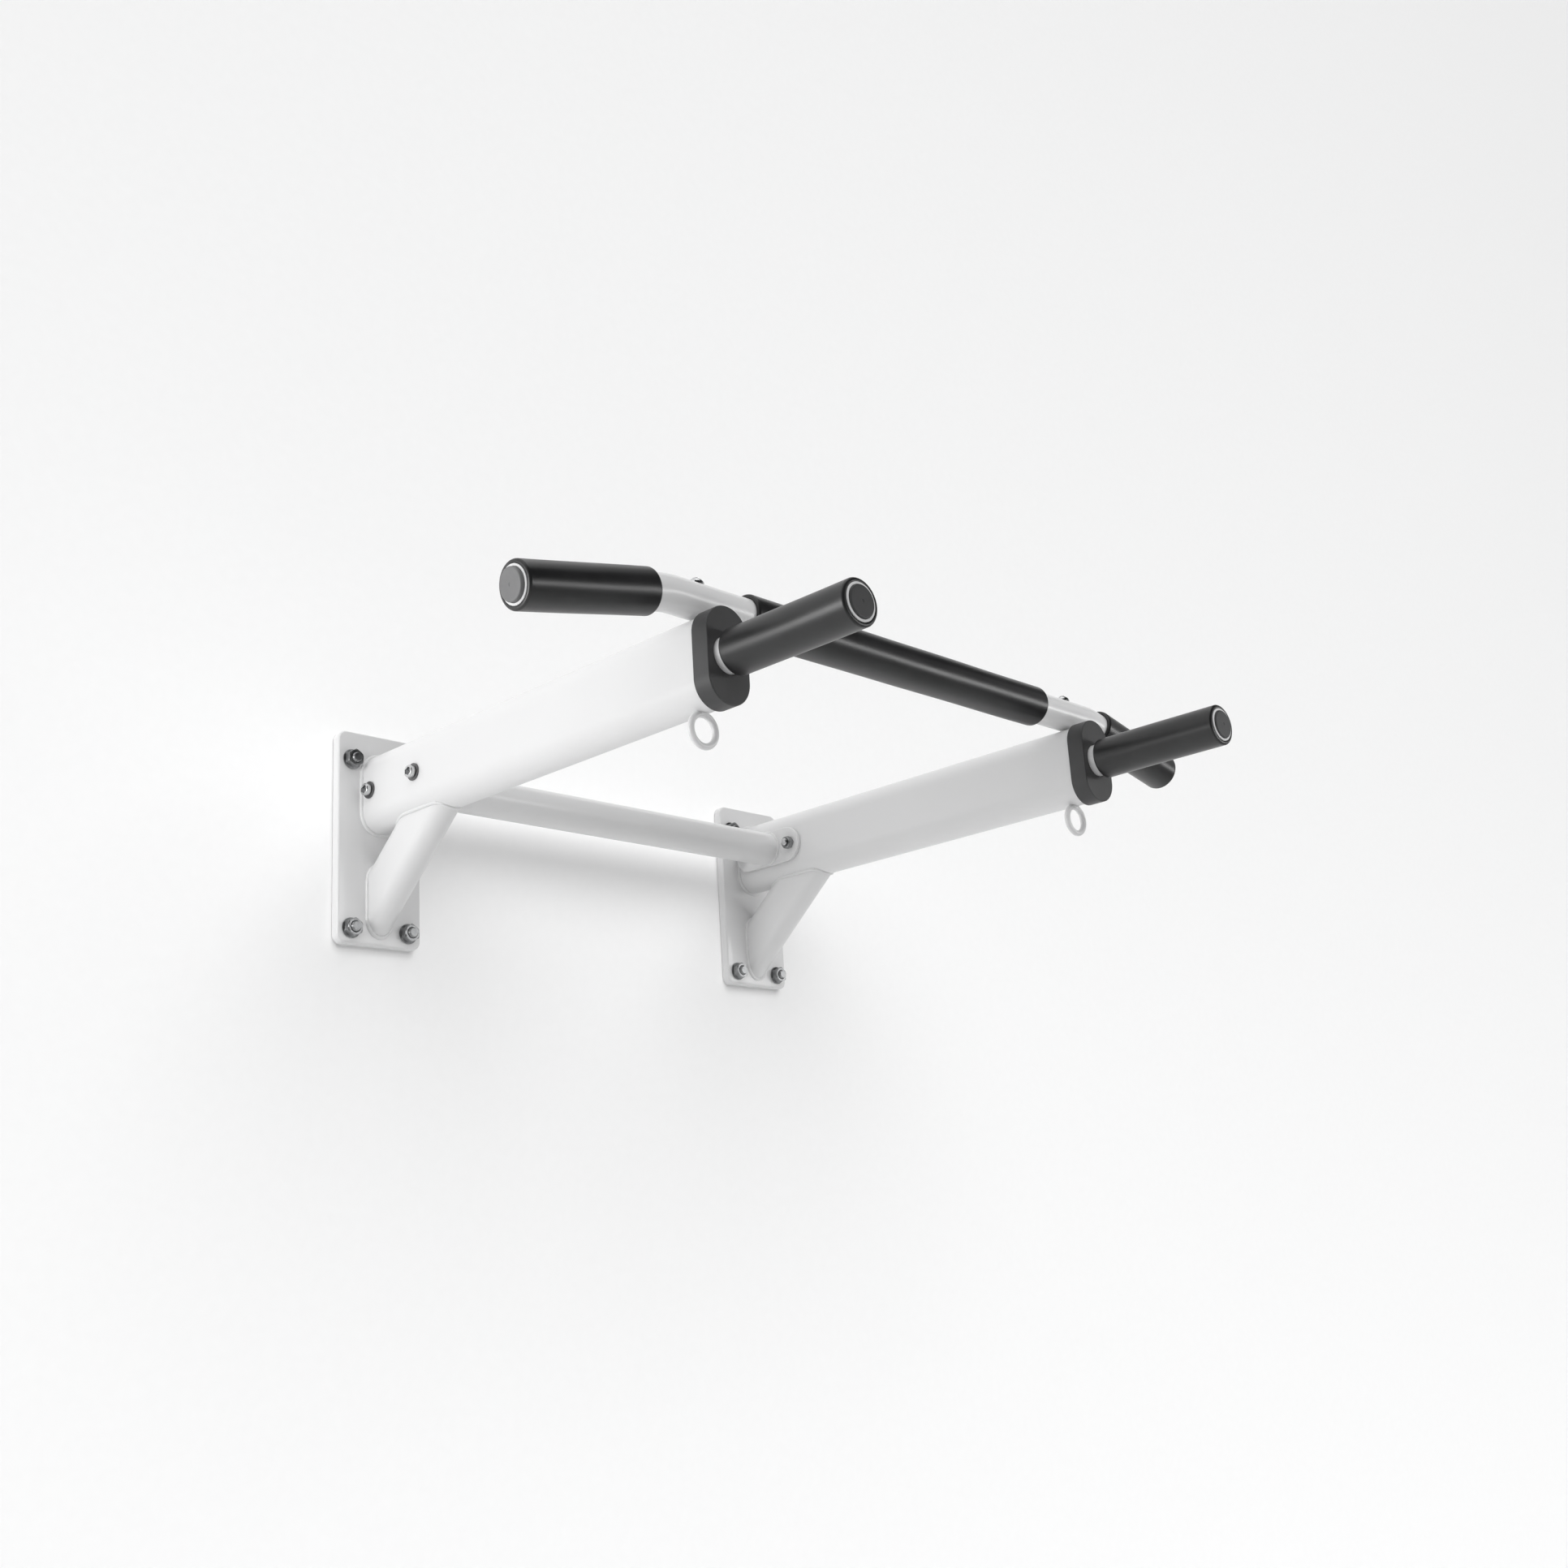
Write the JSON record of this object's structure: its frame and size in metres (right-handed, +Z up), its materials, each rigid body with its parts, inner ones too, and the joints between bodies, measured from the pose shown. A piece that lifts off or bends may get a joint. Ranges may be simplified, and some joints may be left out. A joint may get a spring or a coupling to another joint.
{
  "type": "wall-mounted pull up bar",
  "caption": "Wall-mounted pull up bar: welded flat-oval brackets carry a bent foam-gripped bar, parallel front handles, a bolted rear cross tube and sling rings.",
  "frame": {"origin": "on the wall plane, midway between the two brackets, at the mid height of the wall plates", "axes": "+X to the right of a user facing the wall, +Y into the wall, +Z up"},
  "size_m": [0.8954, 0.6522, 0.2278],
  "materials": {
    "white_coat": "glossy white powder coat with a faint orange peel",
    "foam": "closed-cell foam with a satin skin",
    "black_plastic": "fine-grained moulding",
    "zinc_steel": "zinc plated",
    "bright_bolt": "bright plated",
    "grey_plastic": "fine-grained moulding",
    "dark_washer": "dark zinc"
  },
  "bodies": {
    "root": {"anchor_nut_left_1": "zinc_steel", "anchor_nut_left_2": "zinc_steel", "anchor_nut_left_3": "zinc_steel", "anchor_nut_left_4": "zinc_steel", "anchor_nut_right_1": "zinc_steel", "anchor_nut_right_2": "zinc_steel", "anchor_nut_right_3": "zinc_steel", "anchor_nut_right_4": "zinc_steel", "anchor_stud_left_1": "zinc_steel", "anchor_stud_left_2": "zinc_steel", "anchor_stud_left_3": "zinc_steel", "anchor_stud_left_4": "zinc_steel", "anchor_stud_right_1": "zinc_steel", "anchor_stud_right_2": "zinc_steel", "anchor_stud_right_3": "zinc_steel", "anchor_stud_right_4": "zinc_steel", "arm_tube_left": "white_coat", "arm_tube_right": "white_coat", "bar_bolt_left": "bright_bolt", "bar_bolt_right": "bright_bolt", "bar_nut_left": "zinc_steel", "bar_nut_right": "zinc_steel", "bar_plug_left": "grey_plastic", "bar_plug_right": "grey_plastic", "brace_tube_left": "white_coat", "brace_tube_right": "white_coat", "cross_bolt_left_1": "bright_bolt", "cross_bolt_left_2": "bright_bolt", "cross_bolt_right_1": "bright_bolt", "cross_bolt_right_2": "bright_bolt", "cross_flange_left": "white_coat", "cross_flange_right": "white_coat", "cross_nut_left_1": "zinc_steel", "cross_nut_left_2": "zinc_steel", "cross_nut_right_1": "zinc_steel", "cross_nut_right_2": "zinc_steel", "cross_washer_left_1": "dark_washer", "cross_washer_left_2": "dark_washer", "cross_washer_right_1": "dark_washer", "cross_washer_right_2": "dark_washer", "end_cap_left": "black_plastic", "end_cap_right": "black_plastic", "grip_bar_tube": "white_coat", "handle_bulkhead_left": "white_coat", "handle_bulkhead_right": "white_coat", "handle_grip_left": "foam", "handle_grip_right": "foam", "handle_plug_left": "black_plastic", "handle_plug_right": "black_plastic", "handle_tube_left": "white_coat", "handle_tube_right": "white_coat", "middle_grip": "foam", "outer_grip_left": "foam", "outer_grip_right": "foam", "rear_cross_tube": "white_coat", "sling_ring_left": "white_coat", "sling_ring_right": "white_coat", "wall_plate_left": "white_coat", "wall_plate_right": "white_coat"}
  },
  "joints": []
}
